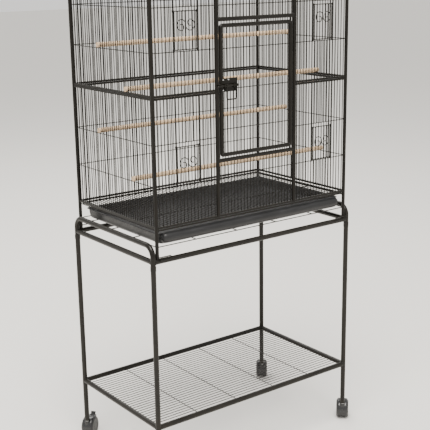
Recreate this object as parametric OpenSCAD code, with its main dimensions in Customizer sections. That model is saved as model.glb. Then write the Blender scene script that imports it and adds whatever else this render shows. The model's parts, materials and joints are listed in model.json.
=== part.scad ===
// Bird cage on a rolling stand. Millimetres, +Z up, the front faces -Y.
// The origin is on the floor under the middle of the cage.

/* [Cage] */
// Corner posts, side to side (mm)
cage_width = 740; // [620:20:900]
// Wire spaces along the front between the corner posts
width_spaces = 60; // [48:2:72]
// Wire spaces along the side between the corner posts
depth_spaces = 36; // [30:2:44]
// Wire thickness (mm)
wire_d = 2.5; // [2:0.1:3]
// Square edge bar of the panels (mm)
bar = 6; // [5:0.5:8]
// Corner post diameter (mm)
post_d = 11; // [9:0.5:13]
// Top of the upper panels above the floor (mm)
cage_top = 1570; // [1500:1:1640]
// Middle of the cage above the floor (mm)
cage_middle = 1199; // [1179:1:1219]
// Underside of the lower panels above the floor (mm)
cage_base = 824; // [819:1:830]

/* [Front door] */
// Outside width of the big door (mm)
door_width = 279; // [260:1:281]
// Bottom of the big door above the floor (mm)
door_bottom = 1004; // [1002:1:1014]
// Top of the big door above the floor (mm)
door_top = 1392; // [1384:1:1394]
// Tube of the big door (mm)
door_tube = 12; // [9:0.5:12]
// Tube of the posts and rails around the big door (mm)
door_post_d = 12; // [9:0.5:13]
// Middle of the big door, right of the middle of the cage (mm)
bay_x = 2; // [-10:1:10]
// Wire spaces between the two door posts
door_spaces = 24; // [24:2:26]

/* [Feeder doors] */
// Half the distance between the guide wires (mm)
guide_half = 41; // [39:0.5:43]
// Stand-off of the guide wires in front of the wall (mm)
guide_out = 7; // [6:0.5:9]
// Wire spaces taken out for the feeder opening
feeder_spaces = 6; // [4:2:6]
// Outer radius of the S scroll (mm)
scroll_r = 15; // [10:1:16]

/* [Perches] */
// Perch dowel diameter (mm)
perch_d = 15; // [12:0.5:18]

/* [Tray and grille] */
// Tray width (mm)
tray_width = 720; // [700:1:724]
// Tray rim height above the floor (mm)
tray_rim = 806; // [802:1:808]
// Tray wall thickness (mm)
tray_wall = 2; // [1.5:0.5:3]

/* [Stand] */
// Stand tube diameter (mm)
tube_d = 16; // [14:0.5:18]
// Front and back rail height (mm)
rail_z = 728; // [710:1:731]
// Upper tube of the side hoops (mm)
hoop_z = 774; // [769:1:780]
// Shelf height (mm)
shelf_z = 207; // [150:1:260]
// Underside of the legs above the floor (mm)
leg_bottom = 60; // [58:1:70]

/* [Casters] */
// Wheel radius (mm)
wheel_r = 30; // [27:0.5:30]
// Offset of the axle from the swivel axis (mm)
trail = 22; // [20:0.5:24]
// Caster width over both wheels (mm)
caster_width = 42; // [36:0.5:44]

/* [Hidden] */
fine = 48;
pitch = cage_width / width_spaces;
cage_depth = depth_spaces * pitch;
px = cage_width / 2;
py = cage_depth / 2;
wr = wire_d / 2;
post_r = post_d / 2;
seam = 0.5;
lower_top = cage_middle - seam;
upper_base = cage_middle + seam;
lower_cross = [cage_middle - 253, cage_middle - 134];
upper_cross = [cage_middle + 123, cage_middle + 245];
roof_cross = cage_depth / 6;
door_gap = 3.5;
door_post_r = door_post_d / 2;
door_px = door_width / 2 + door_gap + door_post_r;
bay_pitch = 2 * door_px / door_spaces;
door_half = door_width / 2 - door_tube / 2;
door_lo = door_bottom + door_tube / 2;
door_hi = door_top - door_tube / 2;
door_rail_lo = door_bottom - 10;
door_rail_hi = door_top + 12;
door_cross = [cage_middle - 113, cage_middle + 5, cage_middle + 122];
door_corner = 7;
pin_r = 2;
pin_depth = 3;
column_spaces = (width_spaces - door_spaces) / 2;
grille_bar = 5;
guide_r = 1.5;
guide_y = -py - guide_out;
loop_r = 3.2;
loop_h = 6;
loop_gap = 0.35;
plate_y = -py - door_tube / 2 - 0.1;
plate_t = 1.5;
bolt_r = 3;
bolt_z = cage_middle + 16;
bolt_ring = 1.8;
bolt_left = -146;
bolt_y = plate_y - plate_t - 0.5 - bolt_r - bolt_ring;
plate_left = bay_x - door_half - 2;
plate_right = -79;
bail_left = -120;
bail_right = -84;
bail_r = 2;
grille_z = cage_base - 6.7;
tray_z = cage_base - 51.5;
tray_front = -py + 12;
tray_back = py - 16;
roll_r = 17.5;
roll_z = tray_z + roll_r + 2;
support_z = tray_z - 2;
support_r = 1.5;
runner_x = px - post_r - support_r + 0.1;
runner_z = grille_z - 2;
tube_r = tube_d / 2;
leg_x = px + 15;
leg_top = rail_z - 12;
elbow_r = 33;
caster_half = caster_width / 2;
spine = 5.5;
axle_r = 3;
stem_r = 3.5;
shaft_gap = 0.06;
lever_r = wheel_r + 8;
lever_a = 40;
hood_r = wheel_r + 4.5;
recess_r = tube_r + 1.5;
caster_turns = [-45, -45, -52, -40];

function corner(i) = [(i % 2 == 0 ? -1 : 1), (i < 2 ? -1 : 1)];
function column_x(sx) = (sx * (px + door_px) + bay_x) / 2;
function column_width(sx) = px - door_px - sx * bay_x;

// ---- basic shapes ----

module rod_x(x0, x1, y, z, r) {
    translate([x0, y, z]) rotate([0, 90, 0]) cylinder(r = r, h = x1 - x0, $fn = fine);
}

module rod_y(x, y0, y1, z, r) {
    translate([x, y1, z]) rotate([90, 0, 0]) cylinder(r = r, h = y1 - y0, $fn = fine);
}

module rod_z(x, y, z0, z1, r) {
    translate([x, y, z0]) cylinder(r = r, h = z1 - z0, $fn = fine);
}

module bend(R, r, a0, a1) {
    rotate([0, 0, a0]) rotate_extrude(angle = a1 - a0, $fn = fine)
        translate([R, 0]) circle(r = r, $fn = fine);
}

// Edge bar along X, given by its ends and its underside.
module edge_bar(x0, x1, z) {
    translate([x0, -bar / 2, z]) cube([x1 - x0, bar, bar]);
}

// Wire wall in the XZ plane, centred on x = 0: edge bars, cross wires and upright wires.
module wire_wall(spaces, z0, z1, cross, tail = 0) {
    half = spaces * pitch / 2 - post_r;
    edge_bar(-half, half, z0);
    edge_bar(-half, half, z1 - bar);
    for (z = cross) rod_x(-half, half, 0, z, wr);
    for (i = [1 : spaces - 1]) rod_z((i - spaces / 2) * pitch, 0, z0 - tail, z1 - bar / 2, wr);
}

// ---- cage ----

module cage_post(sx, sy) {
    color([0.1, 0.1, 0.1]) rod_z(sx * px, sy * py, rail_z + tube_r, cage_top, post_r);
}

module side_wall(sx, z0, z1, cross) {
    color([0.1, 0.1, 0.1]) translate([sx * px, 0, 0]) rotate([0, 0, 90])
        wire_wall(depth_spaces, z0, z1, cross);
}

module back_wall(z0, z1, cross, tail) {
    color([0.1, 0.1, 0.1]) translate([0, py, 0]) wire_wall(width_spaces, z0, z1, cross, tail);
}

// Narrow front wall with one feeder opening and the two guide wires of its door.
module front_column(sx, z0, z1, cross, bay, guide_top) {
    half = column_width(sx) / 2;
    step = column_width(sx) / column_spaces;
    x0 = -half + (sx < 0 ? post_r : door_post_r);
    x1 = half - (sx < 0 ? door_post_r : post_r);
    color([0.1, 0.1, 0.1]) translate([column_x(sx), -py, 0]) {
        edge_bar(x0, x1, z0);
        edge_bar(x0, x1, z1 - bar);
        for (z = cross) rod_x(x0, x1, 0, z, wr);
        for (i = [1 : column_spaces - 1]) {
            k = i - column_spaces / 2;
            if (abs(k) < feeder_spaces / 2) {
                rod_z(k * step, 0, z0, bay[0], wr);
                rod_z(k * step, 0, bay[1], z1 - bar / 2, wr);
            } else {
                rod_z(k * step, 0, z0, z1 - bar / 2, wr);
            }
        }
        for (s = [-1, 1]) guide_wire(s * guide_half, bay[0], guide_top);
    }
}

module guide_wire(x, z0, z1) {
    rod_z(x, -guide_out, z0, z1, guide_r);
    for (z = [z0, z1]) {
        rod_y(x, -guide_out, 0, z, guide_r);
        translate([x, -guide_out, z]) sphere(r = guide_r, $fn = fine);
    }
}

module front_center(z_bar, z0, z1, cross) {
    half = door_px - door_post_r;
    color([0.1, 0.1, 0.1]) translate([bay_x, -py, 0]) {
        edge_bar(-half, half, z_bar);
        for (z = cross) rod_x(-half, half, 0, z, wr);
        for (i = [1 : door_spaces - 1]) rod_z((i - door_spaces / 2) * bay_pitch, 0, z0, z1, wr);
    }
}

module door_post_right() {
    color([0.1, 0.1, 0.1]) rod_z(bay_x + door_px, -py, cage_base, cage_top, door_post_r);
}

// The catch is a finger over the bolt, open to the front so that the door can swing.
module door_post_left() {
    x = bay_x - door_px;
    color([0.1, 0.1, 0.1]) {
        rod_z(x, -py, cage_base, cage_top, door_post_r);
        translate([x - 4, bolt_y - 4, bolt_z + bolt_r + 1]) cube([8, -py - bolt_y + 2, 2]);
    }
}

// Rail over or under the door, with the blind hole for the door's hinge pin on side sz.
module door_rail(z, sz) {
    end = pin_depth + 0.35;
    color([0.1, 0.1, 0.1]) difference() {
        rod_x(bay_x - door_px, bay_x + door_px, -py, z, door_post_r);
        for (s = [-1, 1]) rod_z(bay_x + s * door_px, -py, z - 10, z + 10, door_post_r);
        translate([bay_x + door_half, -py, z]) scale([1, 1, sz]) rod_z(0, 0, -10, end, pin_r + shaft_gap);
    }
}

module roof() {
    color([0.1, 0.1, 0.1]) translate([0, 0, cage_top]) {
        difference() {
            translate([-px - bar / 2, -py - bar / 2, 0]) cube([2 * px + bar, 2 * py + bar, bar]);
            translate([-px + bar / 2, -py + bar / 2, -1]) cube([2 * px - bar, 2 * py - bar, bar + 2]);
        }
        for (i = [1 : width_spaces - 1]) rod_y((i - width_spaces / 2) * pitch, -py, py, bar / 2, wr);
        for (s = [-1, 1]) rod_x(-px, px, s * roof_cross, bar / 2, wr);
    }
}

// ---- perches: slotted dowel ends grip an upright wire and rest on a cross wire ----

module perch(space, z) {
    r = perch_d / 2;
    y = -py + space * pitch;
    difference() {
        rod_x(-px - 4, px + 4, y, z + r + 0.05, r);
        for (s = [-1, 1]) translate([s * (px + 1) - 4, y - wr - 0.2, z - 1])
            cube([8, wire_d + 0.4, perch_d + 2]);
    }
}

module perches() {
    color([0.72, 0.55, 0.36]) {
        perch(23, upper_cross[0] + wr);
        perch(11, upper_base + bar);
        perch(24, lower_cross[1] + wr);
        perch(9, lower_cross[0] + wr);
    }
}

// ---- tray, grille and what carries them ----

// Wire rail under the grille's edge, welded to the inside of the front and back posts.
module tray_runner(sx) {
    color([0.1, 0.1, 0.1]) rod_y(sx * runner_x, -py, py, runner_z, support_r);
}

module tray_carrier() {
    half = px - post_r;
    color([0.1, 0.1, 0.1]) {
        for (s = [-1, 1]) rod_x(-half, half, s * py, support_z, support_r);
        for (s = [-1, 1]) rod_y(s * px, -py + post_r, py - post_r, support_z, support_r);
        for (x = [-231, -77, 77, 231]) rod_y(x, -py - 2, py + 2, support_z, support_r);
        for (y = [-86, 38, 162]) rod_x(-px - 2, px + 2, y, support_z, support_r);
    }
}

module floor_grille() {
    half = px - 7;
    back = py - 4;
    front = -py - grille_bar / 2;
    mid = grille_bar / 2;
    color([0.1, 0.1, 0.1]) translate([0, 0, grille_z]) {
        difference() {
            translate([-half, front, 0]) cube([2 * half, back - front, grille_bar]);
            translate([-half + grille_bar, front + grille_bar, -1])
                cube([2 * half - 2 * grille_bar, back - front - 2 * grille_bar, grille_bar + 2]);
        }
        for (i = [1 : width_spaces - 1]) rod_y((i - width_spaces / 2) * pitch, -py, back - mid, mid, wr);
        for (s = [-1, 1]) rod_x(-half + 1, half - 1, s * roof_cross, mid, wr);
    }
}

module rounded_plate(x, y0, y1, r, z0, z1) {
    translate([0, 0, z0]) linear_extrude(z1 - z0) {
        translate([-x, y0 + r]) square([2 * x, y1 - y0 - 2 * r]);
        translate([-x + r, y0]) square([2 * x - 2 * r, y1 - y0]);
        for (sx = [-1, 1], y = [y0 + r, y1 - r]) translate([sx * (x - r), y]) circle(r = r, $fn = fine);
    }
}

// The front is one large round roll with the flat inside of the tray behind it.
module tray() {
    x = tray_width / 2;
    rim = 5;
    lip = 5;
    roll_end = 14;
    color([0.2, 0.2, 0.21]) difference() {
        union() {
            rounded_plate(x - rim, tray_front, tray_back - rim, 12, tray_z, tray_rim);
            rounded_plate(x, tray_front, tray_back, 14, tray_rim - 2, tray_rim);
            rod_x(-x + roll_end, x - roll_end, tray_front, roll_z, roll_r);
        }
        rounded_plate(x - rim - tray_wall, tray_front + lip, tray_back - rim - tray_wall, 10,
            tray_z + tray_wall, roll_z + roll_r + 5);
    }
}

// ---- big door and latch ----

module main_door() {
    c = door_corner;
    r = door_tube / 2;
    wires = floor((door_half - r - wr) / bay_pitch);
    color([0.1, 0.1, 0.1]) translate([bay_x, -py, 0]) {
        for (s = [-1, 1]) rod_z(s * door_half, 0, door_lo + c, door_hi - c, r);
        for (z = [door_lo, door_hi]) rod_x(-door_half + c, door_half - c, 0, z, r);
        for (sx = [-1, 1], sz = [-1, 1])
            translate([sx * (door_half - c), 0, (sz > 0 ? door_hi - c : door_lo + c)])
                scale([sx, 1, sz]) rotate([90, 0, 0]) bend(c, r, 0, 90);
        for (z = door_cross) rod_x(-door_half, door_half, 0, z, wr);
        for (i = [-wires : wires]) rod_z(i * bay_pitch, 0, door_lo, door_hi, wr);
        rod_z(door_half, 0, door_rail_lo - pin_depth, door_lo + c, pin_r);
        rod_z(door_half, 0, door_hi - c, door_rail_hi + pin_depth, pin_r);
    }
}

module latch_plate() {
    z0 = cage_middle - 2;
    color([0.12, 0.12, 0.12]) difference() {
        union() {
            translate([plate_left, plate_y - plate_t, z0]) cube([plate_right - plate_left, plate_t, 39]);
            translate([plate_right - plate_t, plate_y - plate_t, z0 + 4])
                cube([plate_t, -py - plate_y + plate_t - wr - 0.05, 31]);
            for (x = [plate_left + 4, bail_right - 12]) {
                translate([x, bolt_y, bolt_z - 5]) cube([3, plate_y - bolt_y - plate_t / 2, 10]);
                rod_x(x, x + 3, bolt_y, bolt_z, 5);
            }
        }
        rod_x(plate_left - 1, plate_right + 1, bolt_y, bolt_z, bolt_r + shaft_gap);
    }
}

module latch_bolt() {
    drop = 6;
    color([0.12, 0.12, 0.12]) {
        rod_x(bolt_left, plate_right + 2, bolt_y, bolt_z, bolt_r);
        translate([bolt_left, bolt_y, bolt_z - drop]) rotate([90, 0, 0]) bend(drop, bolt_r, 90, 180);
        rod_z(bolt_left - drop, bolt_y, bolt_z - drop - 4, bolt_z - drop, bolt_r);
        for (x = [bail_left - 4.5, bail_left + 2.5, bail_right - 4.5, bail_right + 2.5])
            rod_x(x, x + 2, bolt_y, bolt_z, bolt_r + 1);
    }
}

module latch_bail() {
    low = cage_middle - 24.5;
    c = 7;
    color([0.12, 0.12, 0.12]) {
        difference() {
            for (x = [bail_left, bail_right]) rod_x(x - 2, x + 2, bolt_y, bolt_z, bolt_r + bolt_ring);
            rod_x(bail_left - 5, bail_right + 5, bolt_y, bolt_z, bolt_r + shaft_gap);
        }
        for (x = [bail_left, bail_right]) rod_z(x, bolt_y, low + c, bolt_z - bolt_r - 0.7, bail_r);
        rod_x(bail_left + c, bail_right - c, bolt_y, low, bail_r);
        for (s = [-1, 1]) translate([(s < 0 ? bail_left + c : bail_right - c), bolt_y, low + c])
            scale([s, 1, 1]) rotate([90, 0, 0]) bend(c, bail_r, 270, 360);
    }
}

// ---- feeder doors ----

module half_scroll() {
    inner = scroll_r * 0.56;
    translate([scroll_r, 0]) bend(scroll_r, wr, 180, 450);
    translate([scroll_r, scroll_r - inner]) bend(inner, wr, 90, 290);
}

module feeder_door(sx, z0, z1, scroll_z) {
    frame_half = feeder_spaces / 2 * pitch;
    lo = z0 + guide_r + 0.5;
    hi = z1 - 8;
    color([0.1, 0.1, 0.1]) translate([column_x(sx), guide_y, 0]) {
        difference() {
            for (s = [-1, 1], z = [lo, hi - loop_h]) rod_z(s * guide_half, 0, z, z + loop_h, loop_r);
            for (s = [-1, 1]) rod_z(s * guide_half, 0, z0, z1, guide_r + loop_gap);
        }
        for (z = [lo + loop_h / 2, hi - loop_h / 2])
            rod_x(-guide_half + 2.6, guide_half - 2.6, 0, z, guide_r);
        for (k = [-feeder_spaces / 2 : feeder_spaces / 2])
            rod_z(k * pitch, 0, lo + loop_h / 2, hi - loop_h / 2, wr);
        translate([0, -wire_d + 0.4, scroll_z]) rotate([90, 0, 0]) {
            half_scroll();
            rotate([0, 0, 180]) half_scroll();
        }
    }
}

// ---- stand ----

module stand_leg(sx, sy) {
    color([0.1, 0.1, 0.1]) {
        rod_z(sx * leg_x, sy * py, leg_bottom, leg_top, tube_r);
        rod_z(sx * leg_x, sy * py, leg_top - 14, leg_top, tube_r + 0.8);
    }
}

module stand_hoop(sx) {
    c = elbow_r;
    color([0.1, 0.1, 0.1]) translate([sx * leg_x, 0, 0]) {
        rod_y(0, -py + c, py - c, hoop_z, tube_r);
        for (s = [-1, 1]) {
            rod_z(0, s * py, leg_top, hoop_z - c, tube_r);
            translate([0, s * (py - c), hoop_z - c]) scale([1, s, 1]) rotate([90, 0, 90])
                bend(c, tube_r, 0, 90);
        }
    }
}

module stand_side_rail(sx) {
    color([0.1, 0.1, 0.1]) difference() {
        rod_y(sx * leg_x, -py, py, rail_z, tube_r);
        for (s = [-1, 1]) {
            rod_z(sx * leg_x, s * py, rail_z - 20, rail_z + 20, tube_r);
            rod_x(-leg_x, leg_x, s * py, rail_z, tube_r);
        }
    }
}

module stand_cross_rail(sy) {
    color([0.1, 0.1, 0.1]) difference() {
        rod_x(-leg_x, leg_x, sy * py, rail_z, tube_r);
        for (s = [-1, 1]) rod_z(s * leg_x, sy * py, rail_z - 20, rail_z + 20, tube_r);
    }
}

// Wire clip beside a cage foot: a flat U against the outer face of the rail.
module foot_clips() {
    r = 1.5;
    out = tube_r + r + 0.1;
    top = rail_z + 14;
    color([0.1, 0.1, 0.1]) for (sx = [-1, 1], sy = [-1, 1]) scale([sx, sy, 1]) {
        rod_x(px - 38, px, py + out, top, r);
        rod_x(px - 38, px - 4, py + out, top - 10, r);
        translate([px - 38, py + out, top - 5]) rotate([90, 0, 0]) bend(5, r, 90, 270);
        rod_y(px, py + post_r + 0.05, py + out, top, r);
        translate([px, py + out, top]) sphere(r = r, $fn = fine);
    }
}

module shelf_frame() {
    color([0.1, 0.1, 0.1]) difference() {
        union() {
            for (s = [-1, 1]) rod_x(-leg_x, leg_x, s * py, shelf_z, tube_r);
            for (s = [-1, 1]) rod_y(s * leg_x, -py, py, shelf_z, tube_r);
        }
        for (sx = [-1, 1], sy = [-1, 1]) rod_z(sx * leg_x, sy * py, shelf_z - 20, shelf_z + 20, tube_r);
    }
}

// The long wires lie between the end tubes, the cross wires under them.
module shelf_wires() {
    long_pitch = cage_depth / 30;
    color([0.1, 0.1, 0.1]) {
        for (i = [1 : 29]) rod_x(-leg_x + tube_r, leg_x - tube_r, -py + i * long_pitch, shelf_z, wr);
        for (x = [-230, -77, 77, 230]) rod_y(x, -py + tube_r, py - tube_r, shelf_z, wr);
    }
}

// ---- casters: local frame, swivel axis at the origin, axle trailing along +Y ----

// Round body about the X axis from x = inner to x = outer, with its outer edge rounded.
module barrel(radius, inner, outer, r) {
    rotate([0, 90, 0]) rotate_extrude($fn = fine) {
        translate([0, inner]) square([radius, outer - r - inner]);
        translate([0, inner]) square([radius - r, outer - inner]);
        translate([radius - r, outer - r]) circle(r = r, $fn = fine);
    }
}

module caster_place(i) {
    c = corner(i);
    translate([c[0] * leg_x, c[1] * py, 0]) rotate([0, 0, caster_turns[i]]) children();
}

module caster_stems() {
    color([0.55, 0.55, 0.56]) for (i = [0 : 3]) {
        c = corner(i);
        rod_z(c[0] * leg_x, c[1] * py, leg_bottom - 18, leg_bottom - 2, stem_r);
        rod_z(c[0] * leg_x, c[1] * py, leg_bottom - 2, leg_bottom, tube_r - 1);
    }
}

module lever_place() {
    translate([0, trail + lever_r * cos(lever_a), wheel_r + lever_r * sin(lever_a)]) children();
}

module caster_hood(i) {
    half = caster_half - 1.5;
    low = -6;
    tilt = 18;
    brake = i % 2 == 0;
    color([0.05, 0.05, 0.05]) caster_place(i) difference() {
        union() {
            rod_x(-spine, spine, trail, wheel_r, wheel_r - 3);
            intersection() {
                translate([0, trail, wheel_r]) for (s = [-1, 1]) scale([s, 1, 1]) barrel(hood_r, 0, half, 8);
                translate([-half, trail, wheel_r]) rotate([tilt, 0, 0])
                    translate([0, -2 * hood_r, low]) cube([2 * half, 4 * hood_r, 2 * hood_r]);
            }
            rod_z(0, 0, leg_bottom - 22, leg_bottom - 2.5, 9);
            if (brake) for (s = [-1, 1]) lever_place() translate([s * 10 - 1.5, 0, 0]) {
                rotate([0, 90, 0]) cylinder(r = 3.2, h = 3, $fn = fine);
                rotate([lever_a, 0, 0]) translate([0, -6, -3.2]) cube([3, 6, 6.4]);
            }
        }
        for (s = [-1, 1]) translate([s * (spine + 20) - 20, trail, wheel_r]) rotate([0, 90, 0])
            cylinder(r = wheel_r + 1, h = 40, $fn = fine);
        rod_z(0, 0, leg_bottom - 20, leg_bottom, stem_r + shaft_gap);
        rod_z(0, 0, leg_bottom - 2.5, leg_bottom + 20, recess_r);
        rod_x(-30, 30, trail, wheel_r, axle_r + shaft_gap);
        if (brake) lever_place() rotate([0, 90, 0]) translate([0, 0, -20])
            cylinder(r = 1.5 + shaft_gap, h = 40, $fn = fine);
    }
}

module caster_wheels(i) {
    inner = spine + 0.5;
    color([0.04, 0.04, 0.04]) caster_place(i) translate([0, trail, wheel_r]) {
        rod_x(-inner - 1, inner + 1, 0, 0, axle_r);
        for (s = [-1, 1]) scale([s, 1, 1]) difference() {
            barrel(wheel_r, inner, caster_half, 5.5);
            rotate([0, 90, 0]) rotate_extrude($fn = fine) translate([12, caster_half - 1]) square([2, 2]);
        }
    }
}

module brake_lever(i) {
    color([0.05, 0.05, 0.05]) caster_place(i) lever_place() {
        rod_x(-11.4, 11.4, 0, 0, 1.5);
        rod_x(-8.1, 8.1, 0, 0, 2.8);
        rotate([60, 0, 0]) translate([-8, 0, -1.5]) cube([16, 12, 3]);
        rotate([60, 0, 0]) rod_x(-8, 8, 12, 0, 1.5);
    }
}

// ---- the nodes ----

lower = [cage_base, lower_top];
upper = [upper_base, cage_top];
lower_bay = lower_cross;
upper_bay = upper_cross;
lower_guide = lower_top - bar / 2;
upper_guide = cage_top - bar / 2;

stand_leg(-1, -1);  // stand_leg_front_left
stand_leg(1, -1);  // stand_leg_front_right
stand_leg(-1, 1);  // stand_leg_back_left
stand_leg(1, 1);  // stand_leg_back_right
stand_hoop(-1);  // stand_hoop_left
stand_hoop(1);  // stand_hoop_right
stand_side_rail(-1);  // stand_side_rail_left
stand_side_rail(1);  // stand_side_rail_right
stand_cross_rail(-1);  // stand_front_rail
stand_cross_rail(1);  // stand_back_rail
foot_clips();
shelf_frame();
shelf_wires();
caster_stems();
cage_post(-1, -1);  // post_front_left
cage_post(1, -1);  // post_front_right
cage_post(-1, 1);  // post_back_left
cage_post(1, 1);  // post_back_right
side_wall(-1, lower[0], lower[1], lower_cross);  // wall_left_lower
side_wall(-1, upper[0], upper[1], upper_cross);  // wall_left_upper
side_wall(1, lower[0], lower[1], lower_cross);  // wall_right_lower
side_wall(1, upper[0], upper[1], upper_cross);  // wall_right_upper
back_wall(lower[0], lower[1], lower_cross, 12);  // wall_back_lower
back_wall(upper[0], upper[1], upper_cross, 0);  // wall_back_upper
front_column(-1, lower[0], lower[1], lower_cross, lower_bay, lower_guide);  // front_left_lower
front_column(-1, upper[0], upper[1], upper_cross, upper_bay, upper_guide);  // front_left_upper
front_column(1, lower[0], lower[1], lower_cross, lower_bay, lower_guide);  // front_right_lower
front_column(1, upper[0], upper[1], upper_cross, upper_bay, upper_guide);  // front_right_upper
front_center(cage_top - bar, door_rail_hi + door_post_r, cage_top - bar / 2, [upper_cross[1]]);  // front_over_door
front_center(cage_base, cage_base + bar / 2, door_rail_lo - door_post_r, [lower_cross[0]]);  // front_under_door
door_post_left();
door_post_right();
door_rail(door_rail_hi, 1);  // door_rail_top
door_rail(door_rail_lo, -1);  // door_rail_bottom
roof();
perches();
tray_runner(-1);  // tray_runner_left
tray_runner(1);  // tray_runner_right
tray_carrier();
floor_grille();
tray();
main_door();
latch_plate();
latch_bolt();
latch_bail();
feeder_door(-1, upper_bay[0], upper_bay[1], upper_bay[0] + 73);  // feeder_door_upper_left
feeder_door(1, upper_bay[0], upper_bay[1], upper_bay[0] + 73);  // feeder_door_upper_right
feeder_door(-1, lower_bay[0], lower_bay[1], lower_bay[0] + 61);  // feeder_door_lower_left
feeder_door(1, lower_bay[0], lower_bay[1], lower_bay[0] + 61);  // feeder_door_lower_right
caster_hood(0);  // caster_hood_front_left
caster_hood(1);  // caster_hood_front_right
caster_hood(2);  // caster_hood_back_left
caster_hood(3);  // caster_hood_back_right
caster_wheels(0);  // caster_wheels_front_left
caster_wheels(1);  // caster_wheels_front_right
caster_wheels(2);  // caster_wheels_back_left
caster_wheels(3);  // caster_wheels_back_right
brake_lever(0);  // brake_lever_front_left
brake_lever(2);  // brake_lever_back_left
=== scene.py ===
import bpy
import bmesh
import json
import math
import random
from mathutils import Matrix, Vector


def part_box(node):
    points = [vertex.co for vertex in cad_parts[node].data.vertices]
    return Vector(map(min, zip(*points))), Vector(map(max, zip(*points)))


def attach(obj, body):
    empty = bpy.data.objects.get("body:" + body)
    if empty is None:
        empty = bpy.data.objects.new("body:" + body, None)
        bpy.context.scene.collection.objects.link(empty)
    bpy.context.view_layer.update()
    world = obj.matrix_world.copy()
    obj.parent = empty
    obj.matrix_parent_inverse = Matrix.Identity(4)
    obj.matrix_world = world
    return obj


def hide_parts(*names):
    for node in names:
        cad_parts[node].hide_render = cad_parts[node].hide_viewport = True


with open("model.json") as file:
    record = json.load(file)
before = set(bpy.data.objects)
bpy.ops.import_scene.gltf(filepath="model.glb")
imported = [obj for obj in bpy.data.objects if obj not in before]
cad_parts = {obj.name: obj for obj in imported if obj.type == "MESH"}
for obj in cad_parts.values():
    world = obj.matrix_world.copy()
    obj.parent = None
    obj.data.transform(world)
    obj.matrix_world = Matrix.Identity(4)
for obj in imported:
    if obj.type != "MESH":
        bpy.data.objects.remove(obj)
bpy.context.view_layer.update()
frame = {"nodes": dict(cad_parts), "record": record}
nodes = frame["nodes"]
rng = random.Random(7)

# ---------------------------------------------------------------- node helpers


def new_material(name):
    """An empty material with one Principled shader."""
    m = bpy.data.materials.new(name)
    m.use_nodes = True
    nt = m.node_tree
    nt.nodes.clear()
    out = nt.nodes.new("ShaderNodeOutputMaterial")
    bsdf = nt.nodes.new("ShaderNodeBsdfPrincipled")
    nt.links.new(bsdf.outputs[0], out.inputs[0])
    return m, nt, bsdf


def coords(nt, scale=(1, 1, 1)):
    """Object coordinates in metres, stretched by scale."""
    tc = nt.nodes.new("ShaderNodeTexCoord")
    mp = nt.nodes.new("ShaderNodeMapping")
    mp.inputs["Scale"].default_value = scale
    nt.links.new(tc.outputs["Object"], mp.inputs["Vector"])
    return mp.outputs[0]


def noise(nt, vec, scale, detail=4.0, rough=0.55):
    n = nt.nodes.new("ShaderNodeTexNoise")
    n.inputs["Scale"].default_value = scale
    n.inputs["Detail"].default_value = detail
    n.inputs["Roughness"].default_value = rough
    nt.links.new(vec, n.inputs["Vector"])
    return n.outputs["Fac"]


def ramp(nt, fac, stops):
    """A colour ramp, with stops as (position, colour)."""
    r = nt.nodes.new("ShaderNodeValToRGB")
    els = r.color_ramp.elements
    while len(els) < len(stops):
        els.new(0.5)
    for e, (position, colour) in zip(els, stops):
        e.position = position
        e.color = (*colour, 1.0)
    nt.links.new(fac, r.inputs[0])
    return r.outputs[0]


def span(nt, fac, a, b, lo, hi):
    """Maps a..b to lo..hi."""
    r = nt.nodes.new("ShaderNodeMapRange")
    r.inputs["From Min"].default_value = a
    r.inputs["From Max"].default_value = b
    r.inputs["To Min"].default_value = lo
    r.inputs["To Max"].default_value = hi
    nt.links.new(fac, r.inputs["Value"])
    return r.outputs[0]


def mix(nt, fac, a, b):
    """Mixes two colours, each a socket or a plain colour, by the socket fac."""
    m = nt.nodes.new("ShaderNodeMix")
    m.data_type = "RGBA"
    nt.links.new(fac, m.inputs[0])
    for sock, v in ((m.inputs[6], a), (m.inputs[7], b)):
        if hasattr(v, "links"):
            nt.links.new(v, sock)
        else:
            sock.default_value = (*v, 1.0)
    return m.outputs[2]


def bump(nt, bsdf, layers):
    """Stacks bumps, with layers as (height, strength, distance in metres)."""
    prev = None
    for height, strength, dist in layers:
        b = nt.nodes.new("ShaderNodeBump")
        b.inputs["Strength"].default_value = strength
        b.inputs["Distance"].default_value = dist
        nt.links.new(height, b.inputs["Height"])
        if prev is not None:
            nt.links.new(prev, b.inputs["Normal"])
        prev = b.outputs[0]
    nt.links.new(prev, bsdf.inputs["Normal"])


# ---------------------------------------------------------------- materials


def powder_coat(name, dark, light, worn, rough, gloss):
    """Dark satin powder coat: cloudy tone, fine orange peel and rubbed patches."""
    m, nt, bsdf = new_material(name)
    v = coords(nt)
    cloud = noise(nt, v, 9.0, 5.0)
    speck = noise(nt, v, 420.0, 3.0)
    patch = noise(nt, v, 46.0, 6.0, 0.7)
    base = ramp(nt, cloud, [(0.32, dark), (0.68, light)])
    base = mix(nt, span(nt, speck, 0.35, 0.75, 0.0, 0.35), base, light)
    wear = span(nt, patch, 0.68, 0.74, 0.0, 0.8)
    nt.links.new(mix(nt, wear, base, worn), bsdf.inputs["Base Color"])
    nt.links.new(span(nt, cloud, 0.3, 0.7, rough - 0.07, rough + 0.09), bsdf.inputs["Roughness"])
    bsdf.inputs["Specular IOR Level"].default_value = gloss
    bump(nt, bsdf, [(speck, 0.25, 0.0003), (patch, 0.15, 0.0004)])
    return m


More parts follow.
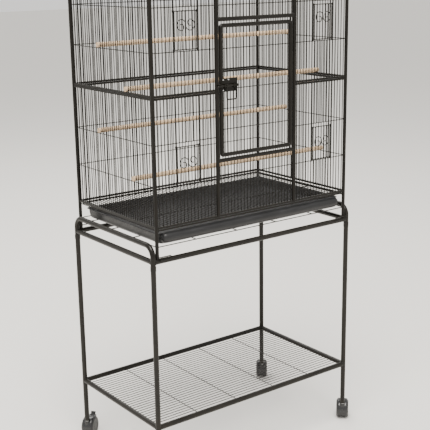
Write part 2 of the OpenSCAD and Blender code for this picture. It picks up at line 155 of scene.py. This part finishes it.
def tray_material():
    """Moulded black plastic with a fine grain and faint streaks along its width."""
    m, nt, bsdf = new_material("tray_plastic")
    dark, light, scuffed = (0.009, 0.009, 0.0095), (0.019, 0.019, 0.020), (0.042, 0.042, 0.044)
    v = coords(nt)
    cloud = noise(nt, v, 7.0, 6.0, 0.6)
    grain = noise(nt, v, 900.0, 2.0)
    streak = noise(nt, coords(nt, (6.0, 60.0, 60.0)), 3.0, 5.0)
    base = ramp(nt, cloud, [(0.3, dark), (0.7, light)])
    base = mix(nt, span(nt, streak, 0.55, 0.75, 0.0, 0.35), base, scuffed)
    nt.links.new(base, bsdf.inputs["Base Color"])
    nt.links.new(span(nt, streak, 0.3, 0.7, 0.28, 0.46), bsdf.inputs["Roughness"])
    bsdf.inputs["Specular IOR Level"].default_value = 0.34
    bump(nt, bsdf, [(grain, 0.2, 0.0002)])
    return m


def wood_material():
    """Bare dowel wood, with its grain and pores along X."""
    m, nt, bsdf = new_material("wood")
    late, middle, early = (0.42, 0.27, 0.155), (0.62, 0.45, 0.29), (0.73, 0.58, 0.41)
    pore_colour, stain = (0.26, 0.16, 0.08), (0.45, 0.32, 0.2)
    grain = noise(nt, coords(nt, (3.0, 60.0, 60.0)), 7.0, 8.0, 0.65)
    pore = noise(nt, coords(nt, (10.0, 500.0, 500.0)), 4.0, 2.0)
    cloud = noise(nt, coords(nt), 14.0, 4.0)
    base = ramp(nt, grain, [(0.25, late), (0.5, middle), (0.75, early)])
    base = mix(nt, span(nt, pore, 0.58, 0.72, 0.0, 0.5), base, pore_colour)
    base = mix(nt, span(nt, cloud, 0.5, 0.8, 0.0, 0.35), base, stain)
    nt.links.new(base, bsdf.inputs["Base Color"])
    nt.links.new(span(nt, grain, 0.3, 0.7, 0.55, 0.72), bsdf.inputs["Roughness"])
    bump(nt, bsdf, [(grain, 0.3, 0.0006), (pore, 0.3, 0.0002)])
    return m


def plastic(name, dark, light, rough):
    """Moulded plastic with fine scratches."""
    m, nt, bsdf = new_material(name)
    cloud = noise(nt, coords(nt), 30.0, 5.0)
    scratch = noise(nt, coords(nt, (40.0, 400.0, 40.0)), 5.0, 3.0)
    nt.links.new(ramp(nt, cloud, [(0.3, dark), (0.75, light)]), bsdf.inputs["Base Color"])
    nt.links.new(span(nt, scratch, 0.4, 0.7, rough, rough + 0.2), bsdf.inputs["Roughness"])
    bump(nt, bsdf, [(scratch, 0.08, 0.0002)])
    return m


def metal_material(name, dark, light, rough):
    """Bare plated metal with a cloudy tone."""
    m, nt, bsdf = new_material(name)
    cloud = noise(nt, coords(nt), 60.0, 5.0)
    nt.links.new(ramp(nt, cloud, [(0.3, dark), (0.7, light)]), bsdf.inputs["Base Color"])
    bsdf.inputs["Metallic"].default_value = 1.0
    nt.links.new(span(nt, cloud, 0.3, 0.7, rough, rough + 0.2), bsdf.inputs["Roughness"])
    bump(nt, bsdf, [(cloud, 0.1, 0.0002)])
    return m


looks = {
    "powder_coat": powder_coat(
        "powder_coat", dark=(0.0050, 0.0042, 0.0032), light=(0.0105, 0.0090, 0.0068),
        worn=(0.040, 0.034, 0.026), rough=0.33, gloss=0.20),
    "stand": powder_coat(
        "powder_coat_stand", dark=(0.0065, 0.0056, 0.0042), light=(0.0140, 0.0120, 0.0090),
        worn=(0.050, 0.043, 0.034), rough=0.30, gloss=0.24),
    "tray_plastic": tray_material(),
    "wood": wood_material(),
    "caster_plastic": plastic("caster_plastic", (0.012, 0.012, 0.013), (0.022, 0.022, 0.023), 0.16),
    "wheel": plastic("wheel_plastic", (0.018, 0.018, 0.018), (0.035, 0.034, 0.033), 0.38),
    "zinc": metal_material("zinc", (0.45, 0.45, 0.46), (0.62, 0.62, 0.62), 0.28),
}


def dress_nodes():
    """Gives each CAD node the material of its slot, and the stand's nodes the stand's finish."""
    for row in frame["record"]["subparts"]:
        name = row["node"]
        finish = "stand" if name.startswith(("stand_", "shelf_")) else row["material_slot"]
        mesh = nodes[name].data
        mesh.materials.clear()
        mesh.materials.append(looks[finish])


# ---------------------------------------------------------------- pieces


def piece(name, bm, body, finish, *stands_for):
    """Turns bm into a smooth piece that rides on a body, in place of any nodes in stands_for."""
    me = bpy.data.meshes.new(name)
    bmesh.ops.recalc_face_normals(bm, faces=bm.faces)
    bm.to_mesh(me)
    bm.free()
    for f in me.polygons:
        f.use_smooth = True
    me.materials.append(looks[finish])
    o = bpy.data.objects.new(name, me)
    bpy.context.scene.collection.objects.link(o)
    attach(o, body)
    if stands_for:
        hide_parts(*stands_for)


def circle(steps):
    """The angles of a circle's points, in radians."""
    return [2 * math.pi * i / steps for i in range(steps)]


def skin(bm, rings, closed=False):
    """Joins rings of points into a tube, capped at its ends or closed on itself."""
    rows = [[bm.verts.new(c) for c in ring] for ring in rings]
    n = len(rows[0])
    pairs = list(zip(rows, rows[1:])) + ([(rows[-1], rows[0])] if closed else [])
    for a, b in pairs:
        for i in range(n):
            j = (i + 1) % n
            bm.faces.new((a[i], a[j], b[j], b[i]))
    if not closed:
        bm.faces.new(rows[0][::-1])
        bm.faces.new(rows[-1])


def rounded_ring(x, y0, y1, r, z, steps=7):
    """A rectangle from -x to x and y0 to y1 at height z, with corners of radius r."""
    corners = ((x - r, y1 - r, 0), (-x + r, y1 - r, 90), (-x + r, y0 + r, 180), (x - r, y0 + r, 270))
    pts = []
    for cx, cy, start in corners:
        for k in range(steps + 1):
            a = math.radians(start + 90 * k / steps)
            pts.append((cx + r * math.cos(a), cy + r * math.sin(a), z))
    return pts


def tray_pan(bm, lo, hi, front):
    """The pan: a turned lip, drafted walls and a filleted floor."""
    rim = hi.z - 0.0035
    under = lo.z
    floor = under + 0.002
    # Each level is the inset from the outside, the height and the corner radius
    levels = [
        (0.0150, under, 0.010),
        (0.0100, under + 0.0030, 0.012),
        (0.0070, under + 0.0100, 0.013),
        (0.0044, rim - 0.0026, 0.014),
        (0.0012, rim - 0.0026, 0.015),
        (0.0000, rim - 0.0018, 0.015),
        (0.0000, rim - 0.0008, 0.015),
        (0.0010, rim, 0.015),
        (0.0046, rim, 0.014),
        (0.0064, rim - 0.0010, 0.013),
        (0.0074, rim - 0.0040, 0.013),
        (0.0096, floor + 0.0100, 0.012),
        (0.0120, floor + 0.0032, 0.011),
        (0.0170, floor, 0.010),
        (0.0600, floor, 0.010),
    ]
    skin(bm, [rounded_ring(hi.x - inset, front + 0.4 * inset, hi.y - inset, corner, z)
              for inset, z, corner in levels])


def tray_roll(bm, hi, front, roll):
    """The big round roll along the front, with soft ends and a flat back against the pan."""
    reach = hi.x - 0.0125
    soft_end = 0.016
    stations, sides = 70, 44
    end_bias, end_size = 1.35, 0.42
    waver, flat_back, squat = 0.0002, 0.0055, 0.985
    rings = []
    for k in range(stations + 1):
        t = -1 + 2 * k / stations
        x = reach * math.copysign(1 - (1 - abs(t)) ** end_bias, t)
        edge = max(0.0, (abs(x) - reach + soft_end) / soft_end)
        r = roll * (end_size + (1 - end_size) * math.sqrt(max(0.0, 1 - edge * edge)))
        middle = hi.z - roll + waver * math.sin(11 * x / reach + 1.0)
        rings.append([(x, min(front + r * math.cos(a), front + flat_back), middle + r * math.sin(a) * squat)
                      for a in circle(sides)])
    skin(bm, rings)


def build_tray():
    """A formed plastic tray in place of the plain one."""
    lo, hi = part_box("tray")
    roll = 0.0175
    front = lo.y + roll
    bm = bmesh.new()
    tray_pan(bm, lo, hi, front)
    tray_roll(bm, hi, front, roll)
    piece("tray_formed", bm, "tray", "tray_plastic", "tray")


def weld(bm, at, along, radius, thick):
    """A slightly lumpy bead round a tube that ends on another one."""
    side = Vector((0, 0, 1)) if abs(along.z) < 0.5 else Vector((1, 0, 0))
    across = along.cross(side)
    saddle = 0.42
    rings = []
    for a in circle(20):
        out = side * math.cos(a) + across * math.sin(a)
        fat = thick * (1 + 0.3 * (rng.random() - 0.5))
        lift = out.dot(across) ** 2 * radius * saddle
        rings.append([at + out * (radius + fat * math.cos(b)) + along * (fat * math.sin(b) - lift)
                      for b in circle(8)])
    skin(bm, rings, closed=True)


def build_tube_welds():
    """Beads where the shelf's and the front rail's tubes meet the legs."""
    bead, reach, fit = 0.0013, 1.02, 0.97
    legs = [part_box("stand_leg_" + n) for n in ("front_left", "front_right", "back_left", "back_right")]
    tubes = (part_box("shelf_frame"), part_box("stand_front_rail"))
    bm = bmesh.new()
    for leg_lo, leg_hi in legs:
        mid = (leg_lo + leg_hi) / 2
        for lo, hi in tubes:
            z = (hi.z + lo.z) / 2
            r = (hi.z - lo.z) / 2
            inward = (Vector((-math.copysign(1, mid.x), 0, 0)), Vector((0, -math.copysign(1, mid.y), 0)))
            for along in inward:
                weld(bm, Vector((mid.x, mid.y, z)) + along * (r * reach), along, r * fit, bead)
    piece("tube_welds", bm, "cage_and_stand", "stand")


def build_door_welds():
    """Beads where the door's two rails meet the door posts."""
    bead, reach, fit = 0.001, 1.02, 0.97
    bm = bmesh.new()
    for name in ("door_rail_top", "door_rail_bottom"):
        lo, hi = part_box(name)
        r = (hi.z - lo.z) / 2
        for x, s in ((lo.x, 1), (hi.x, -1)):
            at = Vector((x + s * r * reach, (lo.y + hi.y) / 2, lo.z + r))
            weld(bm, at, Vector((s, 0, 0)), r * fit, bead)
    piece("door_welds", bm, "cage_and_stand", "powder_coat")


def build_rivets():
    """Domed rivets that hold the latch plate on the door's tube."""
    lo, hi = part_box("latch_plate")
    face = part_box("main_door")[0].y - 0.0016
    near, far = 0.0045, 0.0240
    dome = ((0.0024, 0.0), (0.0023, 0.0006), (0.0018, 0.0011), (0.0009, 0.0014))
    bm = bmesh.new()
    for dx, z in ((near, hi.z - near), (near, lo.z + near), (far, hi.z - near)):
        skin(bm, [[(lo.x + dx + r * math.cos(a), face - out, z + r * math.sin(a)) for a in circle(18)]
                  for r, out in dome])
    piece("latch_rivets", bm, "main_door", "zinc")


def soften(name, width):
    """Rounds a CAD node's sharp edges for the eye, with a modifier."""
    m = nodes[name].modifiers.new("soft_edges", "BEVEL")
    m.width = width
    m.segments = 3
    m.limit_method = "ANGLE"
    m.angle_limit = math.radians(40)


# ---------------------------------------------------------------- stage, light, camera


def stage_floor():
    """A plain pale floor."""
    half = 30.0
    me = bpy.data.meshes.new("floor")
    corners = [(-half, -half, 0), (half, -half, 0), (half, half, 0), (-half, half, 0)]
    me.from_pydata(corners, [], [(0, 1, 2, 3)])
    o = bpy.data.objects.new("floor", me)
    bpy.context.scene.collection.objects.link(o)
    m, nt, bsdf = new_material("floor")
    bsdf.inputs["Base Color"].default_value = (0.86, 0.84, 0.80, 1.0)
    bsdf.inputs["Roughness"].default_value = 0.85
    me.materials.append(m)


def soft_world():
    """Even warm white light from all sides."""
    world = bpy.data.worlds.new("studio")
    world.use_nodes = True
    background = world.node_tree.nodes["Background"]
    background.inputs[0].default_value = (1.0, 0.985, 0.955, 1.0)
    background.inputs[1].default_value = 1.10
    bpy.context.scene.world = world


def softbox(name, loc, target, size, power, colour):
    d = bpy.data.lights.new(name, "AREA")
    d.shape = "RECTANGLE"
    d.size, d.size_y = size
    d.energy = power
    d.color = colour
    o = bpy.data.objects.new(name, d)
    o.location = loc
    o.rotation_euler = (Vector(target) - Vector(loc)).to_track_quat("-Z", "Y").to_euler()
    bpy.context.scene.collection.objects.link(o)


def add_camera():
    """The camera, turned by yaw to the right, pitch upwards and a slight roll."""
    eye = Vector((-1.8298, -2.4586, 1.5586))
    yaw, pitch, roll = math.radians(36.74), math.radians(-14.59), -0.0151
    fwd = Vector((math.sin(yaw) * math.cos(pitch), math.cos(yaw) * math.cos(pitch), math.sin(pitch)))
    level = Vector((math.cos(yaw), -math.sin(yaw), 0.0))
    above = level.cross(fwd)
    right = level * math.cos(roll) + above * math.sin(roll)
    up = above * math.cos(roll) - level * math.sin(roll)
    lens = bpy.data.cameras.new("camera")
    lens.sensor_width = 36.0
    lens.lens = 80.94
    cam = bpy.data.objects.new("camera", lens)
    cam.matrix_world = Matrix.Translation(eye) @ Matrix((right, up, -fwd)).transposed().to_4x4()
    bpy.context.scene.collection.objects.link(cam)
    bpy.context.scene.camera = cam


dress_nodes()
build_tray()
build_tube_welds()
build_door_welds()
build_rivets()
for name in nodes:
    if name.startswith(("caster_hood", "brake_lever")):
        soften(name, 0.0007)
soften("latch_plate", 0.0005)
soften("perches", 0.0009)
stage_floor()
soft_world()
softbox("key", (-1.0, -1.3, 4.4), (0, 0, 0.8), (2.6, 2.6), 300, (1.0, 0.97, 0.92))
softbox("back", (0.6, 3.4, 4.6), (0, 0.6, 0.2), (4.0, 2.0), 160, (1.0, 0.98, 0.95))
add_camera()

bpy.context.view_layer.update()
